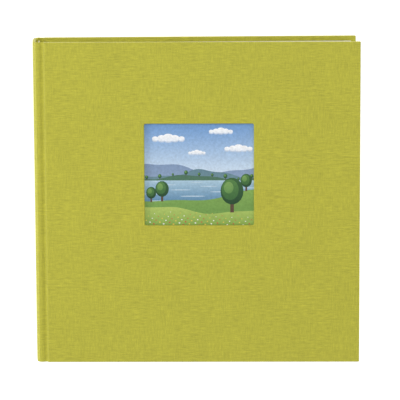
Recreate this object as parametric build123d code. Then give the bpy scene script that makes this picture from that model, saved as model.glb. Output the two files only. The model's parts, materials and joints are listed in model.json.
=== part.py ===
from build123d import *
import os

# A case-bound scrapbook album, closed, lying on its back cover (millimetres).
# X runs from the spine to the fore-edge, Y from tail to head, Z up through the thickness.
# Sections are drawn in the X-Z plane with X counted from the outermost line of the spine,
# and save() moves every piece so that the origin is under the middle of the album.

# ---- the case: boards, cloth and spine ----
ALBUM_WIDTH = 308.5       # outermost line of the spine to the fore-edge of the covers
BACK_WIDTH = 305.5        # the same to the back cover's fore-edge, which stands a little further in
ALBUM_HEIGHT = 310.0      # tail to head
SPINE_WIDTH = 30.0        # outer face of the back cover to outer face of the front cover
COVER_LIFT = 1.4          # degrees that the front cover rides up towards the fore-edge
BOARD = 2.8               # greyboard of the covers
CLOTH = 0.4               # book linen
ENDPAPER = 0.2
SPINE_BOARD = 2.0
SPINE_BOARD_EDGE = 3.6    # spine board's long edges inside the covers' outer faces
TURN_IN = 15.0            # cloth folded over onto the inside of a board
JOINT_EDGE = 11.3         # outermost line of the spine to the hinged edge of a board
CORNER = 1.2              # rounding of the cloth over the board's corners and edges
PASTEDOWN_SQUARE = 4.6    # cloth left showing around the pastedown

# ---- the two hinge lines of the case ----
HINGE_INSET = 4.0         # hinge line behind the spine's outer face, and inside the cover's
SHOULDER = 3.2            # radius of the spine's shoulder about its hinge line
LIP_SPINE = (7.3, 2.3)    # end of the spine's cloth in the groove
LIP_COVER = (8.1, 2.5)    # end of the cover's cloth in the groove
LIP_ROOT = (0.9, 1.5)     # where that lip leaves the board's hinged edge, from low to high
LIP_OVERLAP = 0.1         # how far the spine's lip runs into its shoulder

# ---- the window in the front cover ----
WINDOW = (103.5, 98.2)    # opening, X by Y
WINDOW_MIDDLE = (156.4, 183.0)   # from the spine's outermost line and from the tail
WINDOW_CORNER = 1.2
POCKET_MARGIN = 8.0       # recess around the opening on the inside of the board
POCKET_DEPTH = 1.2
FLANGE_PLAY = 0.4         # room between the pocket's wall and the cloth turned in on its floor
BACKING_PLAY = 0.2        # and between that wall and the backing card
PICTURE = 0.3
PICTURE_MARGIN = 6.0

# ---- the leaves ----
LEAVES = 20
LEAF = 0.45               # photo card
GLASSINE = 0.1
GLASSINE_GAP = 0.05       # air between a leaf and its glassine
FLYLEAF = 0.25
FLYLEAF_GAP = 0.15        # air on each side of a flyleaf
FORE_SQUARE = 10.0        # covers stand out past the leaves at the fore-edge
HEAD_SQUARE = 4.4         # and at head and tail
BLOCK_BACK = 5.0          # outermost line of the spine to the back of the block
FIRST_FOLD = 7.9          # fold line of the flyleaves
FOLD_GAP = 0.4            # flexible strip left free on each side of a fold line
LINING = 0.3              # paper and gauze glued on the back of the block
MULL_INSET = 14.0         # gauze stops short of head and tail
LINING_INSET = 2.0        # and so does the lining paper
BAND_TAPE = 11.0          # tape that holds a band on the back of the block
TAPE_INSET = 5.0          # its middle inside the end of the leaves
BAND_RADIUS = 0.9         # head and tail bands
STITCHES = 6
STITCH_LENGTH = 38.0
THREAD_RADIUS = 0.25

# ---- worked out ----
HALF_HEIGHT = ALBUM_HEIGHT / 2
COVER = CLOTH + BOARD + CLOTH + ENDPAPER          # thickness of a finished cover
INNER_FACE = COVER - ENDPAPER                     # where the pastedown lies on the turn-in
LEAF_HALF = HALF_HEIGHT - HEAD_SQUARE
LEAF_END = ALBUM_WIDTH - FORE_SQUARE
FLY_LEVEL = COVER + FLYLEAF_GAP + FLYLEAF / 2            # middle plane of the back flyleaf
STACK_START = FLY_LEVEL + FLYLEAF / 2 + FLYLEAF_GAP
PITCH = (SPINE_WIDTH - 2 * STACK_START) / LEAVES  # one leaf with its guard


def slab(x0, x1, half, z0, z1):
    """A box from x0 to x1 and z0 to z1, reaching half to each side of the middle along Y."""
    return Pos((x0 + x1) / 2, 0, (z0 + z1) / 2) * Box(x1 - x0, 2 * half, z1 - z0)


def prism(outline, half):
    """A closed X-Z outline drawn out along Y to both sides."""
    return extrude(make_face(Plane.XZ * outline), amount=half, both=True)


def mirrored(shape):
    """The same piece on the front side of the spine."""
    return mirror(shape, about=Plane.XY.offset(SPINE_WIDTH / 2))


def turned(shape, x, z, angle):
    """A piece turned about a line along Y through x, z; positive lifts the fore-edge."""
    line = Axis((x, 0, z), (0, -1, 0))
    return shape.rotate(line, angle)


def lifted(shape):
    """A piece of the front cover, drawn as on the back cover, in its place on the album."""
    flat = mirrored(shape)
    return turned(flat, HINGE_INSET, SPINE_WIDTH - HINGE_INSET, COVER_LIFT)


def save(name, *pieces):
    """Write one sub-part, of one or more solids, in the album's own frame."""
    placed = [Pos(-ALBUM_WIDTH / 2, 0, 0) * piece for piece in pieces]
    export_step(placed[0] if len(placed) == 1 else Compound(placed), f"parts/{name}.step")


# ---- covers ----
def cover_board(width):
    return slab(JOINT_EDGE + CLOTH, width - CLOTH, HALF_HEIGHT - CLOTH, CLOTH, CLOTH + BOARD)


def cover_cloth(width):
    """Cloth over the outside of a board, turned in on three sides, with its lip in the groove."""
    skin = slab(JOINT_EDGE, width, HALF_HEIGHT, 0, INNER_FACE)
    fore_corners = skin.edges().filter_by(Axis.Z).group_by(Axis.X)[-1]
    skin = fillet(fore_corners, CORNER)
    skin = fillet(skin.faces().sort_by(Axis.Z)[0].edges(), CORNER / 2)
    inside = slab(JOINT_EDGE, width - TURN_IN, HALF_HEIGHT - TURN_IN, CLOTH, COVER)
    lip_x, lip_z = LIP_COVER
    edge, (root_low, root_high) = JOINT_EDGE + CLOTH, LIP_ROOT
    lip = Polyline((edge, root_low), (edge, root_high), (lip_x, lip_z + CLOTH), (lip_x, lip_z), close=True)
    wall = slab(JOINT_EDGE, JOINT_EDGE + CLOTH, HALF_HEIGHT, CORNER, CLOTH + BOARD)
    return skin - cover_board(width) - inside + wall + prism(lip, HALF_HEIGHT)


def cover_pastedown(width):
    """The glued half of the endpaper, with the filler that levels it inside the turn-ins."""
    sheet = slab(LIP_COVER[0], width - PASTEDOWN_SQUARE, HALF_HEIGHT - PASTEDOWN_SQUARE,
                 INNER_FACE, COVER)
    filler = slab(JOINT_EDGE + CLOTH, width - TURN_IN, HALF_HEIGHT - TURN_IN,
                  CLOTH + BOARD, INNER_FACE)
    return sheet + filler


# ---- the window, drawn on the same flat cover and cut from the outside (z = 0) ----
def window_block(margin, z0, z1, corner=0.0):
    wide, high = WINDOW[0] + 2 * margin, WINDOW[1] + 2 * margin
    block = Box(wide, high, z1 - z0)
    if corner:
        block = fillet(block.edges().filter_by(Axis.Z), corner)
    across, up = WINDOW_MIDDLE
    return Pos(across, up - HALF_HEIGHT, (z0 + z1) / 2) * block


POCKET_FLOOR = CLOTH + BOARD - POCKET_DEPTH       # depth of the pocket's floor from outside


def front_board():
    opening = window_block(CLOTH, 0, COVER, WINDOW_CORNER + CLOTH)
    pocket = window_block(POCKET_MARGIN, POCKET_FLOOR, COVER)
    return lifted(cover_board(ALBUM_WIDTH) - opening - pocket)


def front_cloth():
    """The front cloth lines the window's walls and is turned in on the pocket's floor."""
    opening = window_block(0, -1, COVER, WINDOW_CORNER)
    lining = window_block(CLOTH, 0, POCKET_FLOOR, WINDOW_CORNER + CLOTH)
    flange = window_block(POCKET_MARGIN - FLANGE_PLAY, POCKET_FLOOR, POCKET_FLOOR + CLOTH)
    return lifted(cover_cloth(ALBUM_WIDTH) + lining + flange - opening)


def window_picture():
    return lifted(window_block(PICTURE_MARGIN, POCKET_FLOOR + CLOTH, POCKET_FLOOR + CLOTH + PICTURE))


def picture_backing():
    top = POCKET_FLOOR + CLOTH + PICTURE
    return lifted(window_block(POCKET_MARGIN - BACKING_PLAY, top, CLOTH + BOARD))


# ---- the spine ----
def spine_line(inset):
    """The spine's section at a depth below its outer face, from shoulder to shoulder."""
    near, far = HINGE_INSET, SPINE_WIDTH - HINGE_INSET
    radius = SHOULDER - inset
    face = ThreePointArc((near - radius, near), (inset, SPINE_WIDTH / 2), (near - radius, far))
    low = CenterArc((near, near), radius, 180, 90)
    high = CenterArc((near, far), radius, 90, 90)
    return face, low, high


def spine_strip(outer, inner, half):
    """A solid between two depths of the spine's section, closed under both shoulders."""
    near, far = HINGE_INSET, SPINE_WIDTH - HINGE_INSET
    end_outer, end_inner = SHOULDER - outer, SHOULDER - inner
    low_end = Line((near, near - end_outer), (near, near - end_inner))
    high_end = Line((near, far + end_outer), (near, far + end_inner))
    outline = Curve() + [*spine_line(outer), *spine_line(inner), low_end, high_end]
    return prism(outline, half)


def spine_board():
    strip = spine_strip(CLOTH, CLOTH + SPINE_BOARD, HALF_HEIGHT - CLOTH)
    return strip & slab(0, HINGE_INSET, HALF_HEIGHT, SPINE_BOARD_EDGE, SPINE_WIDTH - SPINE_BOARD_EDGE)


def spine_cloth():
    """Cloth around the spine board, turned in at head and tail, with a lip in each groove."""
    face = spine_strip(0, CLOTH, HALF_HEIGHT)
    turn_in = spine_strip(CLOTH + SPINE_BOARD, 2 * CLOTH + SPINE_BOARD, TURN_IN / 2)
    cap = spine_strip(CLOTH, 2 * CLOTH + SPINE_BOARD, CLOTH / 2)
    both_ends = [Pos(0, side * (HALF_HEIGHT - TURN_IN / 2), 0) * turn_in for side in (-1, 1)]
    both_ends += [Pos(0, side * (HALF_HEIGHT - CLOTH / 2), 0) * cap for side in (-1, 1)]
    start, root = HINGE_INSET - LIP_OVERLAP, HINGE_INSET - SHOULDER
    lip_x, lip_z = LIP_SPINE
    lip = prism(Polyline((start, root), (start, root + CLOTH), (lip_x, lip_z + CLOTH), (lip_x, lip_z),
                         close=True), HALF_HEIGHT)
    cloth = face + lip + mirrored(lip)
    for end in both_ends:
        cloth += end
    return cloth


# ---- the back of the block ----
BLOCK_LOW = FLY_LEVEL - FLYLEAF / 2
BLOCK_HIGH = SPINE_WIDTH - BLOCK_LOW


def spine_mull():
    return slab(BLOCK_BACK - LINING, BLOCK_BACK, LEAF_HALF - MULL_INSET, BLOCK_LOW, BLOCK_HIGH)


def spine_lining():
    return slab(BLOCK_BACK - 2 * LINING, BLOCK_BACK - LINING, LEAF_HALF - LINING_INSET, BLOCK_LOW, BLOCK_HIGH)


def end_band(side):
    """A corded silk bead over the end of the block, with its tape glued on the back."""
    bead = Cylinder(BAND_RADIUS, BLOCK_HIGH - BLOCK_LOW)
    tape = slab(BLOCK_BACK - LINING, BLOCK_BACK, BAND_TAPE / 2, BLOCK_LOW, BLOCK_HIGH)
    bead = Pos(BLOCK_BACK - LINING + BAND_RADIUS, side * (LEAF_HALF + BAND_RADIUS), SPINE_WIDTH / 2) * bead
    return bead + Pos(0, side * (LEAF_HALF - TAPE_INSET), 0) * tape


# ---- leaves: level, fold line and tilt of each sheet in the closed album ----
def leaf_level(index):
    return STACK_START + (index + 0.5) * PITCH


def fold_line(index):
    """Fold lines step inwards one pitch per leaf, so that the opened halves lie as flat piles."""
    from_cover = min(index, LEAVES - 1 - index)
    return FIRST_FOLD + (from_cover + 1) * PITCH


def tilt(level):
    """The leaves fan out to follow the lifted front cover."""
    return COVER_LIFT * (level - FLY_LEVEL) / (SPINE_WIDTH - 2 * FLY_LEVEL)


def sheet(fold, level, bottom, top):
    """A free sheet beyond its fold line, between two heights over its middle plane."""
    flat = slab(fold + FOLD_GAP, LEAF_END, LEAF_HALF, level + bottom, level + top)
    return turned(flat, fold, level, tilt(level))


def stub(fold, level, thick):
    """The bound margin of a sheet, on the spine's side of its fold line."""
    return slab(BLOCK_BACK, fold - FOLD_GAP, LEAF_HALF, level - thick / 2, level + thick / 2)


def leaf(index):
    return sheet(fold_line(index), leaf_level(index), -LEAF / 2, LEAF / 2)


def glassine(index):
    bottom = LEAF / 2 + GLASSINE_GAP
    return sheet(fold_line(index), leaf_level(index), bottom, bottom + GLASSINE)


def flyleaf(level):
    return sheet(FIRST_FOLD, level, -FLYLEAF / 2, FLYLEAF / 2)


def leaf_stubs():
    margins = [stub(fold_line(i), leaf_level(i), LEAF) for i in range(LEAVES)]
    margins += [stub(FIRST_FOLD, level, FLYLEAF) for level in (FLY_LEVEL, SPINE_WIDTH - FLY_LEVEL)]
    return margins


def guard_strips():
    """Folded card strips between the bound margins, as thick as what will be mounted."""
    strips = []
    for i in range(LEAVES - 1):
        if i != LEAVES // 2 - 1:
            fold = min(fold_line(i), fold_line(i + 1))
            strips.append(stub(fold, (leaf_level(i) + leaf_level(i + 1)) / 2, PITCH - LEAF))
    return strips


def sewing_thread():
    """A row of stitches in the middle fold of the block."""
    gap = 2 * LEAF_HALF / STITCHES
    run = Rot(90, 0, 0) * Cylinder(THREAD_RADIUS, STITCH_LENGTH)
    rows = [-LEAF_HALF + (i + 0.5) * gap for i in range(STITCHES)]
    return [Pos(BLOCK_BACK + THREAD_RADIUS, y, SPINE_WIDTH / 2) * run for y in rows]


os.makedirs("parts", exist_ok=True)

save("back_board", cover_board(BACK_WIDTH))
save("back_cloth", cover_cloth(BACK_WIDTH))
save("back_pastedown", cover_pastedown(BACK_WIDTH))

save("front_board", front_board())
save("front_cloth", front_cloth())
save("window_picture", window_picture())
save("picture_backing", picture_backing())
save("front_pastedown", lifted(cover_pastedown(ALBUM_WIDTH)))

save("spine_board", spine_board())
save("spine_cloth", spine_cloth())
save("spine_mull", spine_mull())
save("spine_lining", spine_lining())
save("head_band", end_band(1))
save("tail_band", end_band(-1))
save("leaf_stubs", *leaf_stubs())
save("guard_strips", *guard_strips())
save("sewing_thread", *sewing_thread())

save("back_flyleaf", flyleaf(FLY_LEVEL))
save("front_flyleaf", flyleaf(SPINE_WIDTH - FLY_LEVEL))
for number in range(LEAVES):
    save(f"leaf_{number + 1:02d}", leaf(number))
    save(f"glassine_{number + 1:02d}", glassine(number))
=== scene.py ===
# %% [markdown]
# # A scrapbook album in green book linen
# This notebook makes a case-bound album: a cloth-covered case, a small picture window in the
# front cover, and a block of white card leaves with glassine between them. The album's size,
# its hinges and its inner parts come from a packed design, which we load first. Blender only
# adds what the design can't hold: cloth, paper, print, thread and light.

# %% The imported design
import json
import math
import random

import bmesh
import bpy
from mathutils import Matrix, Vector, geometry, noise


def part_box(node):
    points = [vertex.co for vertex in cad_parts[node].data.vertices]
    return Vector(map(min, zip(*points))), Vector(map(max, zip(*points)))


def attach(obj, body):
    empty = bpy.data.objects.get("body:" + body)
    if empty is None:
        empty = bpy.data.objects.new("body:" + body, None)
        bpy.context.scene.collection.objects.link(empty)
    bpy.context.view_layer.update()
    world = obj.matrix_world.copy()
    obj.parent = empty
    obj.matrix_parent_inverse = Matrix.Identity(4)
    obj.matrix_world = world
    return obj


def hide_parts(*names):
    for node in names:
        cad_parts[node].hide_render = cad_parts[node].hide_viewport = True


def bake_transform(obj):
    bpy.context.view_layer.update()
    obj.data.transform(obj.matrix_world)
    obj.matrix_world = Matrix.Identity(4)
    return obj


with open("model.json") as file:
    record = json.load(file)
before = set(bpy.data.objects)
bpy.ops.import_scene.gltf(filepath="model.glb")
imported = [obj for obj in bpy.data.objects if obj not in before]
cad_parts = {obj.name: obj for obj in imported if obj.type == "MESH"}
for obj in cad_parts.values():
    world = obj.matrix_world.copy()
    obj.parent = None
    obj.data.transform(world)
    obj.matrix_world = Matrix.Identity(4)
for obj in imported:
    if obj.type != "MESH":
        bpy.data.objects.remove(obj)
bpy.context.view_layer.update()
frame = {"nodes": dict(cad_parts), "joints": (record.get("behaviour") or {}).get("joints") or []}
hinges = {joint["name"]: joint for joint in frame["joints"]}

# %% [markdown]
# ## Sizes
# Every size is in metres and is read from the loaded design, so that the cloth fits the boards
# even if the design changes. MM turns a size that is easier to say in millimetres into metres.

# %% Sizes read from the design
MM = 0.001
SPINE_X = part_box("spine_cloth")[0].x
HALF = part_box("back_cloth")[1].y
COVER_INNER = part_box("back_cloth")[1].z
SPINE_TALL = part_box("spine_cloth")[0].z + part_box("spine_cloth")[1].z
HINGE_BACK = Vector(hinges["back_joint"]["pos_m"])
HINGE_FRONT = Vector(hinges["front_joint"]["pos_m"])
LIFT = math.radians(90 - hinges["front_joint"]["range_deg"][1] + 0.01)
CLOTH = 0.4 * MM
print("height", round(2 * HALF / MM, 1), "mm")
print("spine height", round(SPINE_TALL / MM, 1), "mm, cover lifted", round(math.degrees(LIFT), 2))

# %% [markdown]
# The front cover rides up a little towards its fore-edge. Everything on it is easier to make
# on a flat cover that lies at the top of the album, and to turn into place at the end. The two
# helpers below go both ways: `lift_point` turns a flat point up about the front hinge, and
# `flat_point` brings a lifted one back.


# %% Turning points up with the front cover
def lift_point(point, share=1.0):
    turn = Matrix.Rotation(-LIFT * share, 4, "Y")
    return turn @ (Vector(point) - HINGE_FRONT) + HINGE_FRONT


def flat_point(point):
    return lift_point(point, -1.0)


def flat_reach(node):
    """How far a part of the case reaches towards the fore-edge, laid flat if it is in front."""
    unturn = flat_point if node.startswith("front") else Vector
    return max(unturn(v.co).x for v in frame["nodes"][node].data.vertices)


picture_points = [flat_point(v.co) for v in frame["nodes"]["window_picture"].data.vertices]
PICTURE_LOW = Vector([min(p[i] for p in picture_points) for i in range(3)])
PICTURE_HIGH = Vector([max(p[i] for p in picture_points) for i in range(3)])
PICTURE_HIDDEN = 6.0 * MM
WINDOW_LOW = PICTURE_LOW + Vector((PICTURE_HIDDEN, PICTURE_HIDDEN, 0))
WINDOW_HIGH = PICTURE_HIGH - Vector((PICTURE_HIDDEN, PICTURE_HIDDEN, 0))
print("window", [round(v / MM, 1) for v in WINDOW_HIGH - WINDOW_LOW][:2], "mm")

# %% [markdown]
# ## Helpers for materials
# A procedural material is a small network of nodes. Wiring one by hand takes many lines, so
# two helpers keep it short: `add_node` makes a node and fills its inputs, and a link is made
# whenever an input's value is itself a socket.


# %% Node helpers
def add_node(tree, kind, inputs=None, **settings):
    """A node with its settings, and its inputs given as numbers or as sockets to link from."""
    node = tree.nodes.new(kind)
    for name, value in settings.items():
        setattr(node, name, value)
    for key, value in (inputs or {}).items():
        if isinstance(value, bpy.types.NodeSocket):
            tree.links.new(value, node.inputs[key])
        else:
            node.inputs[key].default_value = value
    return node


def maths(tree, operation, first, second=0.0, third=0.0):
    node = add_node(tree, "ShaderNodeMath", {0: first, 1: second, 2: third}, operation=operation)
    return node.outputs[0]


def new_group(name, inputs, outputs):
    """An empty shader node group with named inputs and outputs."""
    group = bpy.data.node_groups.new(name, "ShaderNodeTree")
    for label, kind, value in inputs:
        socket = group.interface.new_socket(label, in_out="INPUT", socket_type=kind)
        if value is not None:
            socket.default_value = value
    for label, kind in outputs:
        group.interface.new_socket(label, in_out="OUTPUT", socket_type=kind)
    source = group.nodes.new("NodeGroupInput").outputs
    sink = group.nodes.new("NodeGroupOutput").inputs
    return group, source, sink


def new_material(name):
    material = bpy.data.materials.new(name)
    material.use_nodes = True
    tree = material.node_tree
    shader = tree.nodes["Principled BSDF"]
    return material, tree, shader


def place_group(tree, group, inputs):
    return add_node(tree, "ShaderNodeGroup", inputs, node_tree=group).outputs


def linear(red, green, blue):
    """A colour as a painter's eight-bit values, turned into the linear values Blender mixes."""
    def one(c):
        c = c / 255
        return c / 12.92 if c <= 0.04045 else ((c + 0.055) / 1.055) ** 2.4
    return (one(red), one(green), one(blue), 1.0)


print("node helpers ready")

# %% [markdown]
# ## The linen weave as a node group
# Book linen is a plain weave: each warp thread goes over one weft thread and under the next.
# Its threads aren't even. Thick slubs run along some of them, and that is what the eye sees
# from a distance, as faint streaks both ways. One could paint a tiling image, but a formula
# stays sharp at any size and never repeats. The group takes a place on the cloth in metres and
# puts out a height for the bump, a shade for the colour and a mask of the thread tops.


# %% Shader group: linen weave
LYING_THREADS = 1.4    # how much more the lying slubs show than the standing ones


def linen_group():
    group, given, out = new_group(
        "Linen weave",
        [("Place", "NodeSocketVector", None), ("Thread pitch", "NodeSocketFloat", 0.00055),
         ("Slubs", "NodeSocketFloat", 1.0), ("Mottle", "NodeSocketFloat", 1.0)],
        [("Height", "NodeSocketFloat"), ("Shade", "NodeSocketFloat"), ("Tops", "NodeSocketFloat")])
    wander = add_node(group, "ShaderNodeTexNoise", {"Vector": given["Place"], "Scale": 60.0, "Detail": 2.0})
    shift = add_node(group, "ShaderNodeVectorMath", {0: wander.outputs["Color"], 1: (0.5, 0.5, 0.5)},
                     operation="SUBTRACT")
    bent = add_node(group, "ShaderNodeVectorMath",
                    {0: shift.outputs[0], 1: (0.0005, 0.0005, 0.0), 2: given["Place"]},
                    operation="MULTIPLY_ADD")
    axes = add_node(group, "ShaderNodeSeparateXYZ", {0: bent.outputs[0]})
    warp = maths(group, "DIVIDE", axes.outputs[0], given["Thread pitch"])
    weft = maths(group, "DIVIDE", axes.outputs[1], given["Thread pitch"])
    warp_wave = maths(group, "SINE", maths(group, "MULTIPLY", warp, math.pi))
    weft_wave = maths(group, "SINE", maths(group, "MULTIPLY", weft, math.pi))
    warp_over = maths(group, "GREATER_THAN", maths(group, "MULTIPLY", warp_wave, weft_wave), 0.0)
    warp_top = maths(group, "ABSOLUTE", warp_wave)
    weft_top = maths(group, "ABSOLUTE", weft_wave)
    tops = add_node(group, "ShaderNodeMix", {0: warp_over, 2: weft_top, 3: warp_top}).outputs[0]

    def streaks(scale_along, scale_across, turned):
        scale = (scale_across, scale_along, 1.0) if turned else (scale_along, scale_across, 1.0)
        place = add_node(group, "ShaderNodeVectorMath", {0: given["Place"], 1: scale}, operation="MULTIPLY")
        threads = add_node(group, "ShaderNodeTexNoise", {"Vector": place.outputs[0], "Scale": 1.0,
                                                         "Detail": 3.0, "Roughness": 0.62})
        return maths(group, "SUBTRACT", threads.outputs[0], 0.5)

    across = maths(group, "MULTIPLY_ADD", streaks(32.0, 420.0, False), 0.3, streaks(125.0, 1000.0, False))
    along = maths(group, "MULTIPLY_ADD", streaks(32.0, 420.0, True), 0.3, streaks(125.0, 1000.0, True))
    patches = add_node(group, "ShaderNodeTexNoise", {"Vector": given["Place"], "Scale": 34.0, "Detail": 1.0})
    leaning = add_node(group, "ShaderNodeMapRange", {0: patches.outputs[0], 1: 0.3, 2: 0.7, 3: 0.3, 4: 1.0})
    other = maths(group, "SUBTRACT", 1.3, leaning.outputs[0])
    lying = maths(group, "MULTIPLY", across, LYING_THREADS)
    standing = maths(group, "MULTIPLY", along, other)
    slubs = maths(group, "MULTIPLY_ADD", lying, leaning.outputs[0], standing)
    slubs = maths(group, "MULTIPLY", slubs, given["Slubs"])
    cloud = add_node(group, "ShaderNodeTexNoise", {"Vector": given["Place"], "Scale": 28.0, "Detail": 4.0})
    mottle = maths(group, "MULTIPLY", maths(group, "SUBTRACT", cloud.outputs[0], 0.5), given["Mottle"])
    shade = maths(group, "MULTIPLY_ADD", slubs, 0.74, maths(group, "MULTIPLY_ADD", mottle, 0.1, 1.0))
    # Thread tops a little lighter and gaps a little darker: painted shade of the weave.
    shade = maths(group, "MULTIPLY_ADD", maths(group, "SUBTRACT", tops, 0.64), 0.14, shade)
    height = maths(group, "MULTIPLY_ADD", slubs, 1.1, maths(group, "MULTIPLY", tops, 0.45))
    for name, value in (("Height", height), ("Shade", shade), ("Tops", tops)):
        group.links.new(value, out[name])
    return group


LINEN = linen_group()
print("group", LINEN.name, "with", len(LINEN.nodes), "nodes")

# %% [markdown]
# ## Book linen
# The cloth is dyed yellow-green. Its colour is painted lighter on the thread tops and darker in
# the gaps between them, as painted shade of the weave, and a little sheen stands for the fine
# fibres that stand up from it. The pattern is placed by the UV map, which holds the place on the
# flat cloth before it was folded round the boards, so the threads turn the edges with the cloth.


# %% Material: green book linen
def linen_material():
    material, tree, shader = new_material("green_book_linen")
    cloth = add_node(tree, "ShaderNodeUVMap", uv_map="cloth")
    weave = place_group(tree, LINEN, {"Place": cloth.outputs[0], "Thread pitch": 0.00062})
    # The colour runs from the darker gap colour to the thread colour on the thread tops: painted shade in the
    # gaps of the weave.
    tint = add_node(tree, "ShaderNodeMix", {0: weave["Tops"], 6: linen_gap_painted_shade, 7: linen_thread},
                    data_type="RGBA")
    shaded = add_node(tree, "ShaderNodeVectorMath", {0: tint.outputs[2], "Scale": weave["Shade"]},
                      operation="SCALE")
    tree.links.new(shaded.outputs[0], shader.inputs["Base Color"])
    rough = maths(tree, "MULTIPLY_ADD", weave["Tops"], -0.1, 0.7)
    tree.links.new(rough, shader.inputs["Roughness"])
    bump = add_node(tree, "ShaderNodeBump", {
        "Height": weave["Height"], "Strength": 0.55, "Distance": 0.00022})
    tree.links.new(bump.outputs[0], shader.inputs["Normal"])
    shader.inputs["Sheen Weight"].default_value = 0.15
    shader.inputs["Sheen Roughness"].default_value = 0.5
    shader.inputs["Specular IOR Level"].default_value = 0.45
    return material


linen_thread = linear(190, 186, 59)
# The gap colour is darker than the thread colour: painted shade between the threads.
linen_gap_painted_shade = linear(172, 168, 44)
GREEN_LINEN = linen_material()
print("material", GREEN_LINEN.name)

# %% [markdown]
# ## Paper, card and board
# Paper is never one flat white. It has a faint cloud where fibres lie thicker, a fine tooth
# that breaks the light, and a few specks. One group makes all of these, and each paper in the
# album is that group with its own values: smooth endpaper, matt photo card, brown kraft, and
# the coarse greyboard inside the covers.


# %% Shader group: paper fibres
def paper_group():
    group, given, out = new_group(
        "Paper fibres",
        [("Place", "NodeSocketVector", None), ("Colour", "NodeSocketColor", (0.8, 0.8, 0.8, 1)),
         ("Cloud", "NodeSocketFloat", 0.03), ("Specks", "NodeSocketFloat", 0.0),
         ("Fibre scale", "NodeSocketFloat", 900.0)],
        [("Colour", "NodeSocketColor"), ("Height", "NodeSocketFloat")])
    cloud = add_node(group, "ShaderNodeTexNoise", {"Vector": given["Place"], "Scale": 90.0, "Detail": 5.0})
    tooth = add_node(group, "ShaderNodeTexNoise", {"Vector": given["Place"], "Scale": given["Fibre scale"],
                                                   "Detail": 3.0, "Roughness": 0.7})
    speck = add_node(group, "ShaderNodeTexVoronoi", {"Vector": given["Place"], "Scale": 420.0})
    dot = maths(group, "LESS_THAN", speck.outputs["Distance"], 0.12)
    dim = maths(group, "MULTIPLY", maths(group, "SUBTRACT", cloud.outputs[0], 0.5), given["Cloud"])
    dim = maths(group, "SUBTRACT", dim, maths(group, "MULTIPLY", dot, given["Specks"]))
    shade = maths(group, "ADD", dim, 1.0)
    colour = add_node(group, "ShaderNodeVectorMath", {0: given["Colour"], "Scale": shade}, operation="SCALE")
    group.links.new(colour.outputs[0], out["Colour"])
    group.links.new(tooth.outputs[0], out["Height"])
    return group


PAPER = paper_group()


def paper_material(name, colour, rough, cloud, specks, scale, relief):
    material, tree, shader = new_material(name)
    place = add_node(tree, "ShaderNodeTexCoord").outputs["Object"]
    fibres = place_group(tree, PAPER, {"Place": place, "Colour": colour, "Cloud": cloud,
                                       "Specks": specks, "Fibre scale": scale})
    tree.links.new(fibres["Colour"], shader.inputs["Base Color"])
    bump = add_node(tree, "ShaderNodeBump", {"Height": fibres["Height"], "Strength": 0.5, "Distance": relief})
    tree.links.new(bump.outputs[0], shader.inputs["Normal"])
    shader.inputs["Roughness"].default_value = rough
    return material


PHOTO_CARD = paper_material("photo_card", linear(243, 241, 234), 0.8, 0.04, 0.0, 900.0, 0.00004)
ENDPAPER = paper_material("white_endpaper", linear(246, 244, 238), 0.7, 0.03, 0.0, 1400.0, 0.00002)
GREYBOARD = paper_material("bare_greyboard", linear(150, 143, 130), 0.95, 0.25, 0.25, 350.0, 0.0002)
KRAFT = paper_material("kraft_lining", linear(168, 132, 92), 0.85, 0.18, 0.12, 500.0, 0.0001)
WHITE_LINED = paper_material("white_lined_card", linear(225, 221, 208), 0.85, 0.08, 0.05, 600.0, 0.00006)
print("papers", [m.name for m in (PHOTO_CARD, ENDPAPER, GREYBOARD, KRAFT, WHITE_LINED)])

# %% [markdown]
# ## Glassine
# Glassine is a hard, thin, translucent paper that keeps photos from sticking together. Album
# glassine is often embossed with a faint spider's-web pattern. A Voronoi texture's cell edges
# draw such a web. The alpha is a little under one half, and higher along the embossed lines,
# where the paper scatters more.


# %% Material: glassine
def glassine_material():
    material, tree, shader = new_material("embossed_glassine")
    place = add_node(tree, "ShaderNodeTexCoord").outputs["Object"]
    web = add_node(tree, "ShaderNodeTexVoronoi", {"Vector": place, "Scale": 75.0}, feature="DISTANCE_TO_EDGE")
    line = add_node(tree, "ShaderNodeMapRange", {
        0: web.outputs[0], 1: 0.0, 2: 0.07, 3: 1.0, 4: 0.0}).outputs[0]
    wrinkle = add_node(tree, "ShaderNodeTexNoise", {"Vector": place, "Scale": 22.0, "Detail": 3.0})
    height = maths(tree, "MULTIPLY_ADD", line, 0.5, wrinkle.outputs[0])
    bump = add_node(tree, "ShaderNodeBump", {"Height": height, "Strength": 0.4, "Distance": 0.0002})
    tree.links.new(bump.outputs[0], shader.inputs["Normal"])
    alpha = maths(tree, "MULTIPLY_ADD", line, 0.22, 0.42)
    tree.links.new(alpha, shader.inputs["Alpha"])
    tint = add_node(tree, "ShaderNodeMix", {0: line, 6: linear(236, 234, 222), 7: linear(250, 249, 242)},
                    data_type="RGBA")
    tree.links.new(tint.outputs[2], shader.inputs["Base Color"])
    shader.inputs["Roughness"].default_value = 0.38
    return material


GLASSINE = glassine_material()
print("material", GLASSINE.name)

# %% [markdown]
# ## The case cloth
# One piece of cloth covers the back board, the spine and the front board, and is turned in over
# their edges. It bends at two joints, so we make it in two halves that meet down the middle of
# the spine: each half then crosses one hinge. A box with a bevel could stand in for a cover,
# but it would have no joint groove, no turned edge and no threads that run round the edge. So
# we first draw the section from the middle of the spine to the fore-edge, as a row of points.
# The round shoulder is flattened a little, as cloth pulled over a board's edge is, and the two
# covers have their own widths, because the front one also rides up.


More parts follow.
